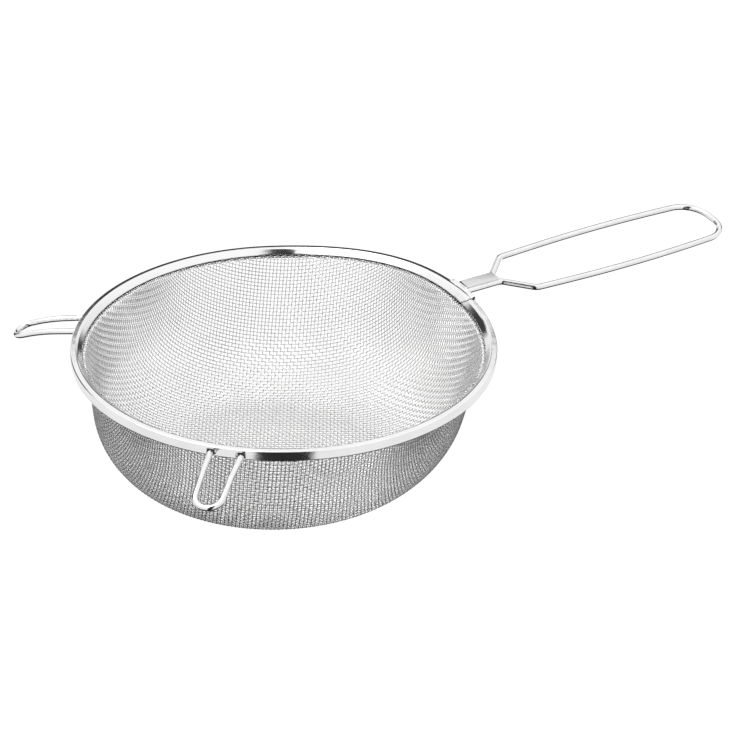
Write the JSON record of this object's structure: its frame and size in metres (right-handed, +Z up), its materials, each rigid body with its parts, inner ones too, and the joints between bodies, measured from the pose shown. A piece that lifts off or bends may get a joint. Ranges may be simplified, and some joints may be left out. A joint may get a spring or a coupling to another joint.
{
  "type": "wire mesh strainer",
  "caption": "Round woven-wire strainer with a rolled steel rim, a long bent-wire loop handle and wire rest hooks on the far side.",
  "frame": {"origin": "middle of the flat underside of the bowl", "axes": "+X towards the handle, +Z up through the bowl, +Y to the right of someone holding the handle"},
  "size_m": [0.358, 0.2002, 0.0669],
  "materials": {
    "wire_cloth": "bright drawn stainless wire, plain weave",
    "polished_strip": "bright rolled stainless strip",
    "hoop_wire": "plain drawn wire, hidden inside the rim",
    "polished_wire": "bright drawn stainless wire",
    "satin_plate": "satin rolled stainless sheet"
  },
  "bodies": {
    "root": {"mesh_bowl": "wire_cloth", "rim_band": "polished_strip", "rim_hoop_wire": "hoop_wire", "handle_wire": "polished_wire", "handle_plate": "satin_plate", "left_rest_hook": "polished_wire", "right_rest_hook": "polished_wire"}
  },
  "joints": []
}
